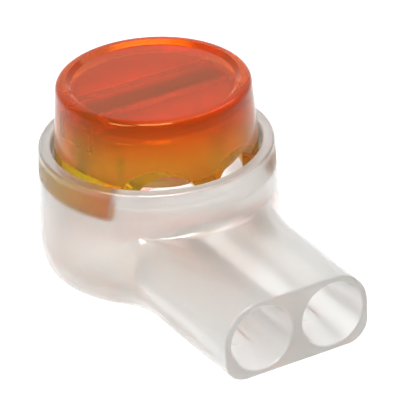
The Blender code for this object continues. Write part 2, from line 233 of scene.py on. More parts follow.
SKIRT_RADIUS = LIP_RADIUS - LIP_STEP
SKIRT_INNER_RADIUS = SKIRT_RADIUS - SKIRT_WALL
CAP_TOP_RADIUS = SKIRT_RADIUS - CAP_DRAFT
LIP_TOP = CAP_BOTTOM + LIP_HEIGHT
CEILING = CAP_TOP - TOP_RECESS - CAP_TOP_WALL
SEAT_BOTTOM = CEILING - SEAT_DROP
print("cap's ceiling at, in mm:", round(CEILING / MM, 3))

# %% [markdown]
# ## The studio
# Product pictures of clear plastic are taken on a white table under large soft lamps. A white
# table would throw much light up into the plastic. So the floor here takes the lamps' light as a
# plain grey, which keeps the object's soft shadow. The camera, the reflections and the view
# through the plastic see a white glow on it, and see the world as white too. Three soft lamps
# stand overhead, in front and at the left, and make the long highlights on the cap, on the rim
# and on the fillet between cup and spout.

# %% Seen by the camera, in a reflection or through plastic
WHITE = (1.0, 1.0, 1.0, 1.0)


def seen_directly(tree):
    """A value that is 1 for camera, glossy and transmission rays, and 0 for light bounces."""
    path = tree.nodes.new("ShaderNodeLightPath")
    value = path.outputs["Is Camera Ray"]
    for kind in ("Is Glossy Ray", "Is Transmission Ray"):
        either = tree.nodes.new("ShaderNodeMath")
        either.operation = "MAXIMUM"
        tree.links.new(value, either.inputs[0])
        tree.links.new(path.outputs[kind], either.inputs[1])
        value = either.outputs["Value"]
    return value


# %% The floor
FLOOR_HALF_SIZE = 1500 * MM
FLOOR_DROP = 0.02 * MM


def principled(name, **values):
    """A material with a Principled shader and these socket values."""
    material = bpy.data.materials.new(name)
    material.use_nodes = True
    shader = material.node_tree.nodes["Principled BSDF"]
    for label, value in values.items():
        shader.inputs[label.replace("_", " ")].default_value = value
    return material


floor_finish = principled(
    "pale_floor",
    Base_Color=(0.20, 0.20, 0.20, 1.0),
    Roughness=0.9,
    Specular_IOR_Level=0.0,
    Emission_Color=WHITE,
)
tree = floor_finish.node_tree
glow = tree.nodes["Principled BSDF"].inputs["Emission Strength"]
tree.links.new(seen_directly(tree), glow)

floor_mesh = bpy.data.meshes.new("floor")
half = FLOOR_HALF_SIZE
corners = [(-half, -half), (half, -half), (half, half), (-half, half)]
floor_mesh.from_pydata([(x, y, -FLOOR_DROP) for x, y in corners], [], [(0, 1, 2, 3)])
floor_mesh.materials.append(floor_finish)
floor = bpy.data.objects.new("floor", floor_mesh)
bpy.context.scene.collection.objects.link(floor)
floor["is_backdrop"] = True
print("floor lies below the base by, in mm:", FLOOR_DROP / MM)

# %% The world
WORLD_LIGHT = 0.30

world = bpy.data.worlds.new("studio")
bpy.context.scene.world = world
world.use_nodes = True
nodes = world.node_tree.nodes
links = world.node_tree.links
seen = nodes["Background"]
seen.inputs["Color"].default_value = WHITE
seen.inputs["Strength"].default_value = 1.0
light = nodes.new("ShaderNodeBackground")
light.inputs["Color"].default_value = WHITE
light.inputs["Strength"].default_value = WORLD_LIGHT
choose = nodes.new("ShaderNodeMixShader")
links.new(seen_directly(world.node_tree), choose.inputs["Fac"])
links.new(light.outputs["Background"], choose.inputs[1])
links.new(seen.outputs["Background"], choose.inputs[2])
links.new(choose.outputs["Shader"], nodes["World Output"].inputs["Surface"])
print("world light:", WORLD_LIGHT)


# %% The lamps
def soft_lamp(name, place, width, height, power, turn=None):
    """A rectangular lamp, in mm and watts. It faces the cup, or straight down, turned about Z."""
    data = bpy.data.lights.new(name, "AREA")
    data.shape = "RECTANGLE"
    data.size = width * MM
    data.size_y = height * MM
    data.energy = power
    lamp = bpy.data.objects.new(name, data)
    lamp.location = Vector(place) * MM
    if turn is None:
        aim = Vector((0, 0, CUP_HEIGHT)) - lamp.location
        lamp.rotation_euler = aim.to_track_quat("-Z", "Y").to_euler()
    else:
        lamp.rotation_euler.z = math.radians(turn)
    bpy.context.scene.collection.objects.link(lamp)
    return lamp


soft_lamp("overhead_lamp", (70, 0, 150), width=220, height=80, power=0.14, turn=21)
soft_lamp("front_lamp", (-35, -63, 131), width=70, height=50, power=0.24)
soft_lamp("left_lamp", (-120, -40, 90), width=60, height=60, power=0.14)

# %% [markdown]
# ## Shared effect: the skin of a moulding
# A moulded face is never quite flat. The plastic sinks a little where it is thick, and the
# polish of the tool leaves a fine grain. Both plastics and the gel need that, each in its own
# strength, so it is one shader group. It reads Object coordinates and puts out a height for a
# bump, a roughness, and a slow cloud for the colour. All scales are in waves per metre.

# %% Build the group for moulded skin
PATCH_SCALE = 900.0


def new_shader_group(name, inputs, outputs):
    """An empty shader group with these sockets: (name, default) in, and names out."""
    group = bpy.data.node_groups.new(name, "ShaderNodeTree")
    for label, default in inputs:
        socket = group.interface.new_socket(label, in_out="INPUT", socket_type="NodeSocketFloat")
        socket.default_value = default
    for label in outputs:
        group.interface.new_socket(label, in_out="OUTPUT", socket_type="NodeSocketFloat")
    return group


def noise_from(group, vector, scale, detail):
    """A noise in the group. The scale is a socket or a plain number."""
    noise = group.nodes.new("ShaderNodeTexNoise")
    group.links.new(vector, noise.inputs["Vector"])
    if isinstance(scale, (int, float)):
        noise.inputs["Scale"].default_value = scale
    else:
        group.links.new(scale, noise.inputs["Scale"])
    noise.inputs["Detail"].default_value = detail
    return noise.outputs["Fac"]


def math_in(group, operation, first, second):
    """A sum, product or the like in the group, of sockets or plain numbers."""
    step = group.nodes.new("ShaderNodeMath")
    step.operation = operation
    for socket, value in zip(step.inputs, (first, second)):
        if isinstance(value, (int, float)):
            socket.default_value = value
        else:
            group.links.new(value, socket)
    return step.outputs["Value"]


def make_moulded_skin():
    """The group: broad sinks with a fine grain on them, and a patchy polish."""
    inputs = [
        ("Sink Scale", 400.0),
        ("Grain Scale", 9000.0),
        ("Grain Share", 0.1),
        ("Smooth", 0.05),
        ("Rough", 0.12),
    ]
    group = new_shader_group("moulded_skin", inputs, ["Height", "Roughness", "Cloud"])
    given = group.nodes.new("NodeGroupInput").outputs
    result = group.nodes.new("NodeGroupOutput").inputs
    place = group.nodes.new("ShaderNodeTexCoord").outputs["Object"]
    sink = noise_from(group, place, given["Sink Scale"], detail=1.0)
    grain = noise_from(group, place, given["Grain Scale"], detail=3.0)
    fine = math_in(group, "MULTIPLY", grain, given["Grain Share"])
    group.links.new(math_in(group, "ADD", sink, fine), result["Height"])
    spread = math_in(group, "SUBTRACT", given["Rough"], given["Smooth"])
    patchy = noise_from(group, place, PATCH_SCALE, detail=2.0)
    rise = math_in(group, "MULTIPLY", patchy, spread)
    group.links.new(math_in(group, "ADD", given["Smooth"], rise), result["Roughness"])
    group.links.new(patchy, result["Cloud"])
    return group


moulded_skin = make_moulded_skin()
print("shader group:", moulded_skin.name)

# %% [markdown]
# ## The finishes
# The body is clear plastic that has gone slightly milky, so it blurs the light that passes it.
# The cap is a similar plastic with an amber dye. The gel is wet and nearly clear. The contact is
# sheet metal with bright tin on it. Each finish is a Principled shader. What is the same all
# over sits on the shader's own sockets. The moulded skin and the height drive what changes.


# %% Give a finish its moulded skin
def add_skin(material, bump, **values):
    """Adds the moulded skin to a material, with a bump of this depth."""
    tree = material.node_tree
    shader = tree.nodes["Principled BSDF"]
    skin = tree.nodes.new("ShaderNodeGroup")
    skin.node_tree = moulded_skin
    for label, value in values.items():
        skin.inputs[label.replace("_", " ")].default_value = value
    relief = tree.nodes.new("ShaderNodeBump")
    relief.inputs["Strength"].default_value = 1.0
    relief.inputs["Distance"].default_value = bump
    tree.links.new(skin.outputs["Height"], relief.inputs["Height"])
    tree.links.new(relief.outputs["Normal"], shader.inputs["Normal"])
    tree.links.new(skin.outputs["Roughness"], shader.inputs["Roughness"])
    return skin


# %% Let the height lead a value or a colour
def height_in(material):
    """The height in a material, from Object coordinates."""
    tree = material.node_tree
    place = tree.nodes.new("ShaderNodeTexCoord")
    parts = tree.nodes.new("ShaderNodeSeparateXYZ")
    tree.links.new(place.outputs["Object"], parts.inputs["Vector"])
    return parts.outputs["Z"]


def step_down(group, value, edge, width):
    """1 below the edge, 0 above it, with a smooth change of this width."""
    fade = group.nodes.new("ShaderNodeMapRange")
    fade.interpolation_type = "SMOOTHSTEP"
    group.links.new(value, fade.inputs["Value"])
    fade.inputs["From Min"].default_value = edge - width / 2
    fade.inputs["From Max"].default_value = edge + width / 2
    fade.inputs["To Min"].default_value = 1.0
    fade.inputs["To Max"].default_value = 0.0
    return fade.outputs["Result"]


def tint_by(material, value, low_colour, high_colour):
    """Lets a value from 0 to 1 lead the base colour from one colour to another."""
    tree = material.node_tree
    mix = tree.nodes.new("ShaderNodeMix")
    mix.data_type = "RGBA"
    mix.inputs["A"].default_value = low_colour
    mix.inputs["B"].default_value = high_colour
    tree.links.new(value, mix.inputs["Factor"])
    tree.links.new(mix.outputs["Result"], tree.nodes["Principled BSDF"].inputs["Base Color"])


# %% [markdown]
# The gel wets the inside of the cup. Where a gel touches the plastic, light hardly bends, so that
# wall nearly vanishes: its finish has the plastic's index divided by the gel's. The bores are
# wet only in part, so theirs is between that and the dry plastic's. Outside, the body blurs the
# light that passes, and a smoother coat over it gives the gloss. The coat covers the spout, the
# fillet and the rim, because the cup's side between them is plainer on the real one.

# %% The clear body, outside, where the gel wets it and in the bores
MILKY_DARK = (0.91, 0.90, 0.87, 1)
MILKY_LIGHT = (0.97, 0.965, 0.94, 1)
WETTED_TINT = (1.0, 0.995, 0.985, 1)
CLEAR_RELIEF = 0.012 * MM
CLEAR_SINKS = 350


def clear_plastic(name, index, smooth, rough, **values):
    """A clear finish and the slow cloud of its moulded skin."""
    finish = principled(
        name, IOR=index, Transmission_Weight=0.985, Coat_Roughness=0.14, **values
    )
    skin = add_skin(finish, CLEAR_RELIEF, Sink_Scale=CLEAR_SINKS, Smooth=smooth, Rough=rough)
    print("finish:", name)
    return finish, skin.outputs["Cloud"]


clear_body, cloud = clear_plastic("clear_body", index=1.5, smooth=0.32, rough=0.46)
tint_by(clear_body, cloud, MILKY_DARK, MILKY_LIGHT)
wetted_wall, _ = clear_plastic("wetted_wall", index=1.06, smooth=0.3, rough=0.5)
bore_wall, _ = clear_plastic(
    "bore_wall", index=1.4, smooth=0.4, rough=0.6, Base_Color=WETTED_TINT
)

# %% The coat on the spout, the fillet and the rim
GLOSS_TOP = SPOUT_HEIGHT + TOP_FILLET + 0.3 * MM
RIM_GLOSS = CUP_HEIGHT - 0.3 * MM
GLOSS_FADE = 0.2 * MM

tree = clear_body.node_tree
up_to_fillet = step_down(tree, height_in(clear_body), GLOSS_TOP, GLOSS_FADE)
below_rim = step_down(tree, height_in(clear_body), RIM_GLOSS, GLOSS_FADE)
rim = math_in(tree, "SUBTRACT", 1.0, below_rim)
gloss = math_in(tree, "MAXIMUM", up_to_fillet, rim)
tree.links.new(gloss, tree.nodes["Principled BSDF"].inputs["Coat Weight"])
print("gloss up to, and again from, in mm:", round(GLOSS_TOP / MM, 2), round(RIM_GLOSS / MM, 2))

# %% The upper part of the cup's wall, with painted shade that makes it greyer than its floor
UPPER_WALL_PAINTED_SHADE = (0.56, 0.555, 0.53, 1)
UPPER_WALL_START = 3.0 * MM
UPPER_WALL_FADE = 1.2 * MM

# Painted shade: the wetted wall is painted grey above this height.
height = height_in(wetted_wall)
low = step_down(wetted_wall.node_tree, height, UPPER_WALL_START, UPPER_WALL_FADE)
tint_by(wetted_wall, low, UPPER_WALL_PAINTED_SHADE, WETTED_TINT)

# %% [markdown]
# Dyed plastic is deeper in colour where light runs through more of it. The cap's top is red-orange
# and its skirt is yellow. An absorbing volume does a part of that by itself, and the rest is a
# tint by the height. Under the top the cap is rougher, and below the body's rim it is wetted.

# %% The amber cap, outside, inside and where the gel wets it
DYE_COLOUR = (1.0, 0.86, 0.0, 1.0)
DYE_DENSITY = 1.2 / MM
THIN_AMBER = (1.0, 0.98, 0.15, 1.0)
THICK_AMBER = (1.0, 0.145, 0.0, 1.0)
AMBER_TURN = 6.7 * MM
AMBER_FADE = 3.4 * MM
AMBER_RELIEF = 0.010 * MM
AMBER_SINKS = 450


def amber_plastic(name, index, smooth, rough):
    """An amber finish that turns from yellow below to orange above."""
    finish = principled(
        name,
        IOR=index,
        Transmission_Weight=0.92,
        Specular_IOR_Level=0.2,
        Specular_Tint=(1.0, 0.60, 0.20, 1.0),
    )
    add_skin(finish, AMBER_RELIEF, Sink_Scale=AMBER_SINKS, Smooth=smooth, Rough=rough)
    tree = finish.node_tree
    thin = step_down(tree, height_in(finish), AMBER_TURN, AMBER_FADE)
    tint_by(finish, thin, THICK_AMBER, THIN_AMBER)
    dye = tree.nodes.new("ShaderNodeVolumeAbsorption")
    dye.inputs["Color"].default_value = DYE_COLOUR
    dye.inputs["Density"].default_value = DYE_DENSITY
    tree.links.new(dye.outputs["Volume"], tree.nodes["Material Output"].inputs["Volume"])
    print("finish:", name)
    return finish


amber_cap = amber_plastic("amber_cap", index=1.42, smooth=0.08, rough=0.16)
amber_inside = amber_plastic("amber_inside", index=1.42, smooth=0.3, rough=0.4)
amber_wetted = amber_plastic("amber_wetted", index=1.1, smooth=0.08, rough=0.16)

# %% [markdown]
# The gel is soft and never flat, so its relief is deeper than a moulding's and has no grain.

# %% The sealing gel
GEL_DARK = (0.66, 0.66, 0.69, 1)
GEL_LIGHT = (0.84, 0.84, 0.87, 1)
GEL_RELIEF = 0.03 * MM

sealing_gel = principled("sealing_gel", IOR=1.41, Transmission_Weight=0.9)
skin = add_skin(
    sealing_gel, GEL_RELIEF, Sink_Scale=700, Grain_Share=0.0, Smooth=0.03, Rough=0.1
)
tint_by(sealing_gel, skin.outputs["Cloud"], GEL_DARK, GEL_LIGHT)
print("finish:", sealing_gel.name)

# %% [markdown]
# Tin on rolled sheet shows faint lines along the rolling direction, here along X. A noise that
# is stretched in that direction makes them, through a Mapping node. They lead the roughness and
# a very shallow bump. The fold under the cap's top is painted near black as painted shade, for
# the dark band that shows there in the photograph, and the legs are bright.

# %% The tinned contact
ROLLING_STRETCH = 0.03
ROLLING_SCALE = 14000
ROLLING_RELIEF = 0.003 * MM
TIN_SMOOTH = 0.15
TIN_SPREAD = 0.2
FOLD_DEPTH = 0.4 * MM
FOLD_PAINTED_SHADE = (0.02, 0.02, 0.025, 1)
LEG_COLOUR = (0.80, 0.80, 0.84, 1)

tinned_contact = principled("tinned_contact", Metallic=1.0)
tree = tinned_contact.node_tree
place = tree.nodes.new("ShaderNodeTexCoord")
stretch = tree.nodes.new("ShaderNodeMapping")
stretch.inputs["Scale"].default_value = (ROLLING_STRETCH, 1.0, 1.0)
tree.links.new(place.outputs["Object"], stretch.inputs["Vector"])
rolling = noise_from(tree, stretch.outputs["Vector"], ROLLING_SCALE, detail=3.0)
shader = tree.nodes["Principled BSDF"]
uneven = math_in(tree, "MULTIPLY", rolling, TIN_SPREAD)
tree.links.new(math_in(tree, "ADD", uneven, TIN_SMOOTH), shader.inputs["Roughness"])
lines = tree.nodes.new("ShaderNodeBump")
lines.inputs["Strength"].default_value = 1.0
lines.inputs["Distance"].default_value = ROLLING_RELIEF
tree.links.new(rolling, lines.inputs["Height"])
tree.links.new(lines.outputs["Normal"], shader.inputs["Normal"])
# Painted shade: the top of the fold is painted near black, and the legs keep the tin's colour.
leg = step_down(tree, height_in(tinned_contact), CONTACT_TOP - FOLD_DEPTH, FOLD_DEPTH)
tint_by(tinned_contact, leg, FOLD_PAINTED_SHADE, LEG_COLOUR)
print("finish:", tinned_contact.name)

# %% [markdown]
# ## Helpers for meshes
# Round stretches are lists of points, and a solid is a row of rings with faces between them.
# Everything is in metres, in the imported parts' own place, so no object is ever moved.


# %% Points and rings
def arc(centre_a, centre_b, radius, start, end, steps):
    """Points along a round stretch, from one angle to another in degrees."""
    points = []
    for step in range(steps + 1):
        angle = math.radians(start + (end - start) * step / steps)
        points.append((centre_a + radius * math.cos(angle), centre_b + radius * math.sin(angle)))
    return points


def join_rings(bm, rings, closed=True):
    """Faces between each ring of vertices and the next."""
    for lower, upper in zip(rings, rings[1:]):
        last = len(lower) if closed else len(lower) - 1
        for i in range(last):
            j = (i + 1) % len(lower)
            bm.faces.new((lower[i], lower[j], upper[j], upper[i]))


def add_prism(bm, outline, start, end, place):
    """Adds a solid with a flat outline, run from one depth to another."""
    near = [bm.verts.new(place(a, b, start)) for a, b in outline]
    far = [bm.verts.new(place(a, b, end)) for a, b in outline]
    join_rings(bm, [near, far])
    bm.faces.new(near)
    bm.faces.new(far)


def along_x(a, b, depth):
    """A prism's point, with its outline across X."""
    return (depth, a, b)


def along_y(a, b, depth):
    """A prism's point, with its outline across Y."""
    return (a, depth, b)


def upright(a, b, depth):
    """A prism's point, with its outline across Z."""
    return (a, b, depth)


# %% From a mesh in the making to an object
MERGE = 0.0001 * MM
NEAR = 0.01 * MM


def tidy_mesh(bm):
    """Merges doubles and turns every face outwards."""
    bmesh.ops.remove_doubles(bm, verts=bm.verts[:], dist=MERGE)
    bmesh.ops.recalc_face_normals(bm, faces=bm.faces[:])


def new_object(name, bm):
    """An object made from a bmesh."""
    tidy_mesh(bm)
    mesh = bpy.data.meshes.new(name)
    bm.to_mesh(mesh)
    bm.free()
    made = bpy.data.objects.new(name, mesh)
    bpy.context.scene.collection.objects.link(made)
    return made


def prism(name, outline, start, end, place):
    """A helper object with a flat outline, run from one depth to another."""
    bm = bmesh.new()
    add_prism(bm, outline, start, end, place)
    return new_object(name, bm)


def block(name, half_x, half_y, low, high):
    """A plain block centred on Z, as a cutter."""
    outline = [(-half_x, -half_y), (half_x, -half_y), (half_x, half_y), (-half_x, half_y)]
    return prism(name, outline, low, high, upright)


# %% [markdown]
# ## Geometry Nodes: a turned form
# The cup's inside, the cap and the gel are all round, so each is a profile turned about Z. A
# Spin in mesh code would do, but a tree keeps the profile and the number of facets as inputs.
# Curve to Mesh sweeps the profile round a circle. The profile's ends lie on the axis, where all
# the facets meet, and Merge by Distance closes the solid there.


# %% Start a tree
def new_geometry_tree(name, inputs):
    """An empty tree with a geometry in and out, and these inputs: (name, socket type)."""
    tree = bpy.data.node_groups.new(name, "GeometryNodeTree")
    face = tree.interface
    face.new_socket("Geometry", in_out="INPUT", socket_type="NodeSocketGeometry")
    for label, kind in inputs:
        face.new_socket(label, in_out="INPUT", socket_type=kind)
    face.new_socket("Geometry", in_out="OUTPUT", socket_type="NodeSocketGeometry")
    return tree


def end_tree(tree, given, geometry):
    """Ends a tree with Realize Instances and Set Material."""
    real = tree.nodes.new("GeometryNodeRealizeInstances")
    dress = tree.nodes.new("GeometryNodeSetMaterial")
    result = tree.nodes.new("NodeGroupOutput")
    tree.links.new(geometry, real.inputs["Geometry"])
    tree.links.new(real.outputs["Geometry"], dress.inputs["Geometry"])
    tree.links.new(given["Finish"], dress.inputs["Material"])
    tree.links.new(dress.outputs["Geometry"], result.inputs["Geometry"])


def run_tree(made, tree, **values):
    """Runs a tree on an object and keeps the result as its plain mesh."""
    step = made.modifiers.new(tree.name, "NODES")
    step.node_group = tree
    for item in tree.interface.items_tree:
        key = item.name.replace(" ", "_")
        if item.in_out == "INPUT" and key in values:
            step[item.identifier] = values[key]
    depsgraph = bpy.context.evaluated_depsgraph_get()
    mesh = bpy.data.meshes.new_from_object(made.evaluated_get(depsgraph), depsgraph=depsgraph)
    made.modifiers.remove(step)
    made.data = mesh
    bm = bmesh.new()
    bm.from_mesh(mesh)
    tidy_mesh(bm)
    bm.to_mesh(mesh)
    bm.free()
    return made


# %% The tree for a turned form
AXIS_DISTANCE = 20 * MM
TURNED_FACETS = 192


def make_turned_tree():
    """The tree: the piece's own edges are the profile, swept round a circle."""
    inputs = [
        ("Facets", "NodeSocketInt"),
        ("Axis Distance", "NodeSocketFloat"),
        ("Merge Distance", "NodeSocketFloat"),
        ("Finish", "NodeSocketMaterial"),
    ]
    tree = new_geometry_tree("turned_form", inputs)
    given = tree.nodes.new("NodeGroupInput").outputs
    profile = tree.nodes.new("GeometryNodeMeshToCurve")
    circle = tree.nodes.new("GeometryNodeCurvePrimitiveCircle")
    sweep = tree.nodes.new("GeometryNodeCurveToMesh")
    close = tree.nodes.new("GeometryNodeMergeByDistance")
    tree.links.new(given["Geometry"], profile.inputs["Mesh"])
    tree.links.new(given["Facets"], circle.inputs["Resolution"])
    tree.links.new(given["Axis Distance"], circle.inputs["Radius"])
    tree.links.new(circle.outputs["Curve"], sweep.inputs["Curve"])
    tree.links.new(profile.outputs["Curve"], sweep.inputs["Profile Curve"])
    tree.links.new(sweep.outputs["Mesh"], close.inputs["Geometry"])
    tree.links.new(given["Merge Distance"], close.inputs["Distance"])
    end_tree(tree, given, close.outputs["Geometry"])
    return tree


turned_tree = make_turned_tree()


def turned(name, profile, finish, facets=TURNED_FACETS):
    """A solid turned about Z from (radius, height) points that start and end on the axis."""
    mesh = bpy.data.meshes.new(name)
    points = [(radius - AXIS_DISTANCE, -height, 0) for radius, height in profile]
    steps = [(i, i + 1) for i in range(len(points) - 1)]
    mesh.from_pydata(points, steps, [])
    made = bpy.data.objects.new(name, mesh)
    bpy.context.scene.collection.objects.link(made)
    values = {"Facets": facets, "Axis_Distance": AXIS_DISTANCE, "Merge_Distance": MERGE}
    return run_tree(made, turned_tree, Finish=finish, **values)


# %% [markdown]
# ## Geometry Nodes: cuts and additions in a row
# The wires come in a pair, so the entries, the arches over them and the slots in the contact
# all repeat at the wires' pitch. One tree sets a cutter on each point of a Mesh Line, and a
# Boolean takes all of them from the piece at once. With a count of 1 the same tree makes a
# single cut. A second tree adds instead of cutting.


# %% The trees for rows of cuts and additions
def make_row_tree(name, operation):
    """A tree that sets a helper at each point of a row and cuts or adds them all at once."""
    inputs = [
        ("Helper", "NodeSocketObject"),
        ("Count", "NodeSocketInt"),
        ("Pitch", "NodeSocketFloat"),
        ("Finish", "NodeSocketMaterial"),
    ]
    tree = new_geometry_tree(name, inputs)
    given = tree.nodes.new("NodeGroupInput").outputs
    shape = tree.nodes.new("GeometryNodeObjectInfo")
    line = tree.nodes.new("GeometryNodeMeshLine")
    start = tree.nodes.new("ShaderNodeCombineXYZ")
    step = tree.nodes.new("ShaderNodeCombineXYZ")
    spread = tree.nodes.new("GeometryNodeInstanceOnPoints")
    real = tree.nodes.new("GeometryNodeRealizeInstances")
    change = tree.nodes.new("GeometryNodeMeshBoolean")
    change.operation = operation
    change.solver = "EXACT"
    gaps = math_in(tree, "SUBTRACT", given["Count"], 1.0)
    length = math_in(tree, "MULTIPLY", gaps, given["Pitch"])
    tree.links.new(math_in(tree, "MULTIPLY", length, -0.5), start.inputs["X"])
    tree.links.new(given["Pitch"], step.inputs["X"])
    tree.links.new(given["Helper"], shape.inputs["Object"])
    tree.links.new(given["Count"], line.inputs["Count"])
    tree.links.new(start.outputs["Vector"], line.inputs["Start Location"])
    tree.links.new(step.outputs["Vector"], line.inputs["Offset"])
    tree.links.new(line.outputs["Mesh"], spread.inputs["Points"])
    tree.links.new(shape.outputs["Geometry"], spread.inputs["Instance"])
    tree.links.new(spread.outputs["Instances"], real.inputs["Geometry"])
    tree.links.new(real.outputs["Geometry"], change.inputs["Mesh 2"])
    main = "Mesh 1" if operation == "DIFFERENCE" else "Mesh 2"
    tree.links.new(given["Geometry"], change.inputs[main])
    end_tree(tree, given, change.outputs["Mesh"])
    return tree


cut_tree = make_row_tree("cut_row", "DIFFERENCE")
add_tree = make_row_tree("add_row", "UNION")


def use_helper(tree, piece, helper, finish, count, pitch):
    """Runs a row tree on the piece, and removes the helper."""
    run_tree(piece, tree, Helper=helper, Count=count, Pitch=pitch, Finish=finish)
    bpy.data.objects.remove(helper)


def cut(piece, helper, finish, count=1, pitch=0.0):
    """Cuts one helper, or a row of them, out of the piece."""
    use_helper(cut_tree, piece, helper, finish, count, pitch)


def add(piece, helper, finish):
    """Joins one helper to the piece."""
    use_helper(add_tree, piece, helper, finish, count=1, pitch=0.0)


# %% A second finish for some of a piece's faces
def dress_faces(piece, finish, belongs):
    """Gives a finish to the faces whose middle passes the test."""
    piece.data.materials.append(finish)
    number = len(piece.data.materials) - 1
    count = 0
    for face in piece.data.polygons:
        if belongs(*face.center):
            face.material_index = number
            count += 1
    print(f"{piece.name}: {count} faces of {finish.name}")


# %% Smooth shading that keeps real edges
SHARP_ANGLE = 30


def shade(piece):
    """Smooth faces with sharp edges where the surface really turns, and flats kept flat."""
    piece.data.shade_smooth()
    piece.data.set_sharp_from_angle(angle=math.radians(SHARP_ANGLE))
    weigh = piece.modifiers.new("weighted_normals", "WEIGHTED_NORMAL")
    weigh.keep_sharp = True
    bm = bmesh.new()
    bm.from_mesh(piece.data)
    open_edges = sum(1 for edge in bm.edges if len(edge.link_faces) != 2)
    faces = len(bm.faces)
    bm.free()
    print(f"{piece.name}: {faces} faces, {open_edges} open edges")


# %% [markdown]
# ## The clear body
# The real body is one moulding: a round cup with a flat spout, blended by flares at both sides
# and a fillet on top. A cup joined to a block by a Boolean would have a hard seam there. So the
# outside is one skin of rings: up the spout's height, along the spout, and round the cup above.
# The inside is then cut out, the saddles are added, and the two wire entries are cut as a pair.

# %% How finely the body is cut into facets
BACK_STEPS = 60
FLARE_STEPS = 14
FRONT_STEPS = 36
EDGE_STEPS = 10
SIDE_STEPS = 5
SHOULDER_STEPS = 14
FILLET_STEPS = 7
BORE_STEPS = 96


# %% The spout's section and the cup's plan
def section_side(half_width, inset=0.0):
    """The right side of the spout's section, from its lower flat to its upper flat, as (x, z)."""
    lower = SPOUT_EDGE_RADIUS
    upper = SPOUT_SHOULDER_RADIUS
    points = arc(half_width - lower, lower, lower - inset, -90, 0, EDGE_STEPS)
    shoulder = SPOUT_HEIGHT - upper
    for step in range(1, SIDE_STEPS):
        points.append((half_width - inset, lower + (shoulder - lower) * step / SIDE_STEPS))
    points += arc(half_width - upper, shoulder, upper - inset, 0, 90, SHOULDER_STEPS)
    return points


def cup_radius_at(height):
    """The cup's outer radius: its wall leans out towards the base, and is rounded in there."""
    wall = CUP_RADIUS + CUP_DRAFT * (1 - height / CUP_HEIGHT)
    share = max(1 - height / CUP_EDGE_HEIGHT, 0.0)
    return wall - CUP_EDGE_INSET * (1 - math.sqrt(1 - share**2))


def flare_centre(neck_half_width, cup_radius):
    """The centre of the arc that blends the neck into the cup, in plan."""
    across = neck_half_width + FLARE_RADIUS
    reach = cup_radius + FLARE_RADIUS
    return across, -math.sqrt(reach**2 - across**2)


def flare_meets(neck_half_width, cup_radius):
    """The angle round the cup, in degrees from +X, at which the flare touches it."""
    across, back = flare_centre(neck_half_width, cup_radius)
    return math.degrees(math.atan2(back, across))


def lower_ring(bm, neck_half_width, height):
    """The body's outline at one height below the spout's top, open across the neck."""
    radius = cup_radius_at(height)
    across, back = flare_centre(neck_half_width, radius)
    meets = flare_meets(neck_half_width, radius)
    right = [(neck_half_width, -SPOUT_JOIN)]
    right += arc(across, back, FLARE_RADIUS, 180, 180 + meets, FLARE_STEPS)
    right += arc(0, 0, radius, meets, 90, BACK_STEPS)[1:]
    left = [(-x, y) for x, y in reversed(right[:-1])]
    return [bm.verts.new((x, y, height)) for x, y in right + left]


def upper_ring(bm, radius, height, meets, bulge=0.0):
    """A closed ring round the cup. In front it bulges over the spout's top, most in the middle."""
    points = arc(0, 0, radius, meets, 180 - meets, 2 * BACK_STEPS)
    half = 90 + meets
    for step in range(1, FRONT_STEPS):
        angle = half * (2 * step / FRONT_STEPS - 1)
        fade = 1 - abs(angle) / half
        reach = radius + bulge * min(1.0, 2 * fade**2)
        points.append(
            (reach * math.sin(math.radians(angle)), -reach * math.cos(math.radians(angle)))
        )
    return [bm.verts.new((x, y, height)) for x, y in points]


def spout_section(bm, y, half_width, inset=0.0):
    """A closed ring of the spout's section, from its lower right round to its lower left."""
    right = section_side(half_width, inset)
    left = [(-x, z) for x, z in reversed(right)]
    return [bm.verts.new((x, y, z)) for x, z in right + left]


# %% The body's outside
def outer_form():
    """The skin: rings up to the spout's top, then along the spout, then up the cup."""
    bm = bmesh.new()
    lower = [lower_ring(bm, x, z) for x, z in section_side(SPOUT_HALF_WIDTH)]
    join_rings(bm, lower, closed=False)
    bm.faces.new(lower[0])

    end_half_width = SPOUT_HALF_WIDTH - SPOUT_END_TAPER
    sections = [spout_section(bm, -SPOUT_JOIN, SPOUT_HALF_WIDTH)]
    for across, deep in arc(0, 0, SPOUT_END_ROUND, 0, 90, FILLET_STEPS):
        inset = SPOUT_END_ROUND - across
        y = -SPOUT_REACH + SPOUT_END_ROUND - deep
        sections.append(spout_section(bm, y, end_half_width, inset))
    join_rings(bm, sections)
    bm.faces.new(sections[-1])

    neck_half_width = SPOUT_HALF_WIDTH - SPOUT_SHOULDER_RADIUS
    meets = flare_meets(neck_half_width, cup_radius_at(SPOUT_HEIGHT))
    upper = []
    for back, down in arc(0, 0, TOP_FILLET, 0, 90, FILLET_STEPS):
        height = SPOUT_HEIGHT + TOP_FILLET - back
        upper.append(upper_ring(bm, cup_radius_at(height), height, meets, TOP_FILLET - down))
    for across, rise in arc(0, 0, RIM_ROUND, 0, 90, FILLET_STEPS):
        radius = CUP_RADIUS - RIM_ROUND + across
        upper.append(upper_ring(bm, radius, CUP_HEIGHT - RIM_ROUND + rise, meets))
    join_rings(bm, upper)
    bm.faces.new(upper[-1])

    front = upper[0][2 * BACK_STEPS + 1 :]
    right_flare = lower[-1][: FLARE_STEPS + 2]
    left_flare = lower[-1][-FLARE_STEPS - 2 :]
    bm.faces.new(right_flare + front[::-1] + left_flare)
    return bm


body_skin = new_object("body_skin", outer_form())
print("outside of the body:", len(body_skin.data.polygons), "faces")


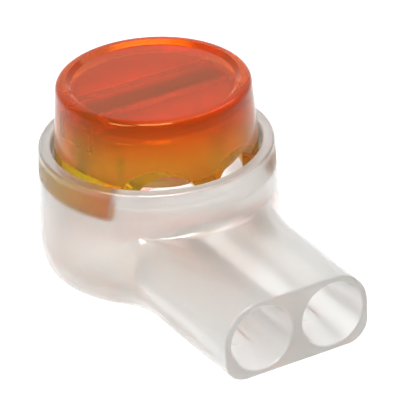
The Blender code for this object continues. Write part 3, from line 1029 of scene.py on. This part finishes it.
# %% The cup's inside
def cup_profile():
    """The cup's inside, with the bead that holds the cap in its raised place."""
    inner = CUP_INNER_RADIUS
    bead_top = CUP_HEIGHT - BEAD_DROP
    bead_bottom = bead_top - BEAD_HEIGHT
    profile = [(0, FLOOR)]
    profile += arc(inner - FLOOR_FILLET, FLOOR + FLOOR_FILLET, FLOOR_FILLET, -90, 0, FILLET_STEPS)
    profile += [
        (inner, bead_bottom),
        (inner - BEAD_STAND, bead_bottom + BEAD_RAMP),
        (inner - BEAD_STAND, bead_top - BEAD_RAMP),
        (inner, bead_top),
    ]
    edge = CUP_HEIGHT - RIM_ROUND
    profile += arc(inner + RIM_ROUND, edge, RIM_ROUND, 180, 90, FILLET_STEPS)
    profile += [(inner + RIM_ROUND, CUP_HEIGHT + OVERRUN), (0, CUP_HEIGHT + OVERRUN)]
    return profile


cut(body_skin, turned("cup_cavity", cup_profile(), clear_body), clear_body)

# %% The saddles under the wires
for side in (-1, 1):
    start = math.degrees(math.asin(SEAT_OUTER / SADDLE_REACH))
    outline = arc(0, 0, SADDLE_REACH, side * start, side * (180 - start), BACK_STEPS)
    saddle = prism(f"saddle_{side}", outline, FLOOR - BURIED, SADDLE_TOP, upright)
    add(body_skin, saddle, clear_body)


# %% The pair of wire entries
def wire_entry():
    """The way of one wire: rounded mouth, tapered lead-in, bore, and a blind end in the saddle."""
    face = -SPOUT_REACH
    stations = [(face - OVERRUN, MOUTH_RADIUS + MOUTH_ROUND)]
    for across, back in arc(0, 0, MOUTH_ROUND, 90, 0, FILLET_STEPS):
        stations.append((face + MOUTH_ROUND - back, MOUTH_RADIUS + MOUTH_ROUND - across))
    stations += [(face + MOUTH_DEPTH, BORE_RADIUS), (WIRE_STOP, BORE_RADIUS)]
    bm = bmesh.new()
    rings = []
    for y, radius in stations:
        circle = arc(0, WIRE_AXIS_HEIGHT, radius, 0, 360, BORE_STEPS)[:-1]
        rings.append([bm.verts.new((a, y, b)) for a, b in circle])
    join_rings(bm, rings)
    bm.faces.new(rings[0])
    bm.faces.new(rings[-1])
    return new_object("wire_entry", bm)


cut(body_skin, wire_entry(), clear_body, count=2, pitch=WIRE_PITCH)


def in_cup(x, y, z):
    """Tells the faces of the cup's inside, up to the rounding of the rim."""
    in_height = FLOOR - NEAR < z < CUP_HEIGHT - RIM_ROUND
    return in_height and math.hypot(x, y) < CUP_INNER_RADIUS + NEAR


def in_bore(x, y, z):
    """Tells the faces of both wires' ways through the spout, behind the mouths' rounding."""
    from_wire = math.hypot(abs(x) - WIRE_PITCH / 2, z - WIRE_AXIS_HEIGHT)
    past_face = MOUTH_ROUND - SPOUT_REACH < y < -CUP_INNER_RADIUS
    return past_face and from_wire < MOUTH_RADIUS + NEAR


dress_faces(body_skin, wetted_wall, in_cup)
dress_faces(body_skin, bore_wall, in_bore)
shade(body_skin)

# %% [markdown]
# ## The amber cap
# The real cap is turned in plan: a recessed top with a low raised rim, a side that leans in for
# the mould, and a skirt with a lip that catches under the cup's bead. So it starts as a turned
# form with a turned cavity. Two walls under the top seat the contact. In front the skirt is cut
# away by a wedge with rounded upper corners, and the two arches over the wires are cut as a pair.

# %% The cap's outside and inside
ROUND_STEPS = 8


def cap_profile():
    """The cap's outside, from the middle of the top to the middle of the underside."""
    land = CAP_TOP_RADIUS - TOP_ROUND
    profile = [
        (0, CAP_TOP - TOP_RECESS),
        (land - TOP_LAND - TOP_RAMP, CAP_TOP - TOP_RECESS),
        (land - TOP_LAND, CAP_TOP),
    ]
    profile += arc(land, CAP_TOP - TOP_ROUND, TOP_ROUND, 90, 0, ROUND_STEPS)
    profile += [
        (SKIRT_RADIUS, CUP_HEIGHT + CAP_SHOULDER_RISE),
        (SKIRT_RADIUS, LIP_TOP + LIP_STEP / 2),
        (LIP_RADIUS, LIP_TOP - LIP_STEP / 2),
        (LIP_RADIUS, CAP_BOTTOM + LIP_LEAD),
        (LIP_RADIUS - LIP_LEAD, CAP_BOTTOM),
        (0, CAP_BOTTOM),
    ]
    return profile


def cap_inside():
    """The space in the cap, which opens downwards."""
    inner = SKIRT_INNER_RADIUS
    corner = CEILING - CEILING_FILLET
    profile = [(0, CAP_BOTTOM - OVERRUN), (inner, CAP_BOTTOM - OVERRUN)]
    profile += arc(inner - CEILING_FILLET, corner, CEILING_FILLET, 0, 90, ROUND_STEPS)
    profile += [(0, CEILING)]
    return profile


cap_skin = turned("cap_skin", cap_profile(), amber_cap)
cut(cap_skin, turned("cap_cavity", cap_inside(), amber_cap), amber_cap)

# %% The seat of the contact
seat = block("seat", SKIRT_INNER_RADIUS + BURIED, SEAT_OUTER, SEAT_BOTTOM, CEILING + BURIED)
add(cap_skin, seat, amber_cap)
pocket_length = CONTACT_HALF_LENGTH + CONTACT_FIT
pocket = block("pocket", pocket_length, SEAT_INNER, SEAT_BOTTOM - OVERRUN, CEILING)
cut(cap_skin, pocket, amber_cap)


# %% The front window and the pair of arches
def window_ring(bm, inset, height):
    """A ring of the window: a wedge, seen from above, with both sides moved in by the inset."""
    half = math.radians(WINDOW_HALF_ANGLE)
    point = -inset / math.sin(half)
    front = -LIP_RADIUS - OVERRUN
    across = (point - front) * math.tan(half)
    outline = [(0, point), (across, front), (-across, front)]
    return [bm.verts.new((x, y, height)) for x, y in outline]


def front_window():
    """The wedge that opens the skirt in front, with its upper corners rounded."""
    bm = bmesh.new()
    rings = [window_ring(bm, 0, CAP_BOTTOM - OVERRUN)]
    for across, rise in arc(0, 0, WINDOW_CORNER, 0, 90, 2 * ROUND_STEPS):
        height = WINDOW_TOP - WINDOW_CORNER + rise
        rings.append(window_ring(bm, WINDOW_CORNER - across, height))
    join_rings(bm, rings)
    bm.faces.new(rings[0])
    bm.faces.new(rings[-1])
    return new_object("front_window", bm)


def wire_arch():
    """The arch over one wire, from the skirt's outside to the seat's face."""
    spring = ARCH_CROWN - ARCH_RADIUS
    foot = spring - ARCH_RADIUS
    outline = arc(0, spring, ARCH_RADIUS, 0, 180, BORE_STEPS // 2)
    outline += [(-ARCH_RADIUS, foot), (ARCH_RADIUS, foot)]
    return prism("wire_arch", outline, -LIP_RADIUS - OVERRUN, -SEAT_OUTER, along_y)


cut(cap_skin, front_window(), amber_cap)
cut(cap_skin, wire_arch(), amber_cap, count=2, pitch=WIRE_PITCH)


def under_the_cap(x, y, z):
    """Tells the faces of the cap's inside."""
    return math.hypot(x, y) < SKIRT_INNER_RADIUS + NEAR and z < CEILING + NEAR


def outside_in_cup(x, y, z):
    """Tells the skirt's outer faces that stand in the cup at rest."""
    return math.hypot(x, y) > SKIRT_RADIUS - NEAR and z < CUP_HEIGHT


dress_faces(cap_skin, amber_inside, under_the_cap)
dress_faces(cap_skin, amber_wetted, outside_in_cup)
shade(cap_skin)

# %% [markdown]
# ## The folded contact
# The real contact is one strip of sheet, folded into a U that hangs under the cap's top. Each
# leg has two slots with flared tips, which cut the insulation and grip the wire. The section of
# the U runs along X as a prism, the slots are cut as a pair through both legs, and the corners
# are chamfered. A small Bevel gives the stamped edges their bright line.

# %% The strip
BEND_STEPS = 12
SLOT_STEPS = 20
STAMPED_ANGLE = 40
STAMPED_SEGMENTS = 2


def folded_strip():
    """The folded sheet, seen along X as a U that hangs with its open side down."""
    outer = CONTACT_HALF_DEPTH
    inner = outer - SHEET
    bend = BEND_RADIUS
    crown = CONTACT_TOP - SHEET - bend
    outline = [(-outer, CONTACT_TIP), (-inner, CONTACT_TIP)]
    outline += arc(bend - inner, crown, bend, 180, 90, BEND_STEPS)
    outline += arc(inner - bend, crown, bend, 90, 0, BEND_STEPS)
    outline += [(inner, CONTACT_TIP), (outer, CONTACT_TIP)]
    outline += arc(inner - bend, crown, bend + SHEET, 0, 90, BEND_STEPS)
    outline += arc(bend - inner, crown, bend + SHEET, 90, 180, BEND_STEPS)
    ends = (-CONTACT_HALF_LENGTH, CONTACT_HALF_LENGTH)
    return prism("contact_strip", outline, *ends, along_x)


def slot_outline():
    """One slot seen along Y: a flared lead-in at the tip, straight sides and a round end."""
    crown = CONTACT_TIP + SLOT_HEIGHT - SLOT_WIDTH / 2
    throat = CONTACT_TIP + LEAD_IN_HEIGHT
    points = [(-LEAD_IN_WIDTH / 2, CONTACT_TIP), (-SLOT_WIDTH / 2, throat)]
    points += arc(0, crown, SLOT_WIDTH / 2, 180, 0, SLOT_STEPS)
    points += [(SLOT_WIDTH / 2, throat), (LEAD_IN_WIDTH / 2, CONTACT_TIP)]
    points += [(LEAD_IN_WIDTH / 2, CONTACT_TIP - OVERRUN)]
    points += [(-LEAD_IN_WIDTH / 2, CONTACT_TIP - OVERRUN)]
    return points


def tip_corners(depth):
    """Both chamfers at the ends of the tips, as triangles that reach past them."""
    beyond = CONTACT_HALF_LENGTH + OVERRUN
    below = CONTACT_TIP - OVERRUN
    bm = bmesh.new()
    for side in (-1, 1):
        outline = [
            (side * (beyond - TIP_CHAMFER - 2 * OVERRUN), below),
            (side * beyond, below),
            (side * beyond, CONTACT_TIP + TIP_CHAMFER + OVERRUN),
        ]
        add_prism(bm, outline, -depth, depth, along_y)
    return new_object("tip_corners", bm)


contact_strip = folded_strip()
through = CONTACT_HALF_DEPTH + OVERRUN
slot = prism("slot", slot_outline(), -through, through, along_y)
cut(contact_strip, slot, tinned_contact, count=2, pitch=WIRE_PITCH)
cut(contact_strip, tip_corners(through), tinned_contact)
edges = contact_strip.modifiers.new("stamped_edges", "BEVEL")
edges.width = SHEET_EDGE
edges.segments = STAMPED_SEGMENTS
edges.angle_limit = math.radians(STAMPED_ANGLE)
shade(contact_strip)

# %% [markdown]
# ## The sealing gel
# The real gel is poured into the upturned cap, where it wets the walls and the contact and sets
# with a slightly uneven face. So this one is turned, its edge laps a little into the walls, and a
# small tree ripples its lower face: Set Position lifts each point there by a smooth noise.


# %% The tree for the gel's face
def make_ripple_tree():
    """A tree that lifts the points on one level by a smooth noise."""
    inputs = [
        ("Level", "NodeSocketFloat"),
        ("Depth", "NodeSocketFloat"),
        ("Scale", "NodeSocketFloat"),
        ("Finish", "NodeSocketMaterial"),
    ]
    tree = new_geometry_tree("ripple_face", inputs)
    given = tree.nodes.new("NodeGroupInput").outputs
    place = tree.nodes.new("GeometryNodeInputPosition").outputs["Position"]
    parts = tree.nodes.new("ShaderNodeSeparateXYZ")
    tree.links.new(place, parts.inputs["Vector"])
    height = math_in(tree, "SUBTRACT", parts.outputs["Z"], given["Level"])
    low = math_in(tree, "LESS_THAN", height, MERGE)
    noise = noise_from(tree, place, given["Scale"], detail=0.0)
    wave = math_in(tree, "MULTIPLY", noise, given["Depth"])
    lift = math_in(tree, "MULTIPLY", wave, low)
    offset = tree.nodes.new("ShaderNodeCombineXYZ")
    tree.links.new(lift, offset.inputs["Z"])
    move = tree.nodes.new("GeometryNodeSetPosition")
    tree.links.new(given["Geometry"], move.inputs["Geometry"])
    tree.links.new(offset.outputs["Vector"], move.inputs["Offset"])
    end_tree(tree, given, move.outputs["Geometry"])
    return tree


# %% The gel in the cap
GEL_RINGS = 24
GEL_FACETS = 120
RIPPLE_SCALE = 600.0


def gel_profile():
    """The gel's outline, with many rings on the lower face for the ripple."""
    radius = SKIRT_INNER_RADIUS + GEL_BOND
    top = CEILING + GEL_BOND
    corner = top - CEILING_FILLET
    profile = [(radius * step / GEL_RINGS, GEL_BOTTOM) for step in range(GEL_RINGS + 1)]
    profile += arc(radius - CEILING_FILLET, corner, CEILING_FILLET, 0, 90, ROUND_STEPS)
    profile += [(0, top)]
    return profile


gel_fill = turned("gel_fill", gel_profile(), sealing_gel, facets=GEL_FACETS)
ripple = {"Level": GEL_BOTTOM, "Depth": GEL_RIPPLE, "Scale": RIPPLE_SCALE}
run_tree(gel_fill, make_ripple_tree(), Finish=sealing_gel, **ripple)
shade(gel_fill)

# %% [markdown]
# ## Hand the pieces over
# Each fine mesh stands for the imported part that it follows, and rides on the same body, so the
# cap still slides with its contact and gel.

# %% Each piece rides on its body
pieces = [
    (body_skin, "body", "connector_body", "clear_body"),
    (cap_skin, "cap", "push_cap", "amber_cap"),
    (contact_strip, "contact", "push_cap", "tinned_contact"),
    (gel_fill, "gel", "push_cap", "sealing_gel"),
]
for piece, node, body, slot_name in pieces:
    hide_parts(node)
    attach(piece, body)
    print(piece.name, "rides on", body)

# %% [markdown]
# ## The size and the end
# The dressed model must fill the same box as the imported parts. Both boxes are printed.

# %% Write the sizes and finish
boxes = {"cad": cad_box, "visual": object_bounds()}
for name, corners in boxes.items():
    boxes[name] = [list(corner) for corner in corners]
    print(name, "box in mm:", [[round(v / MM, 3) for v in corner] for corner in corners])
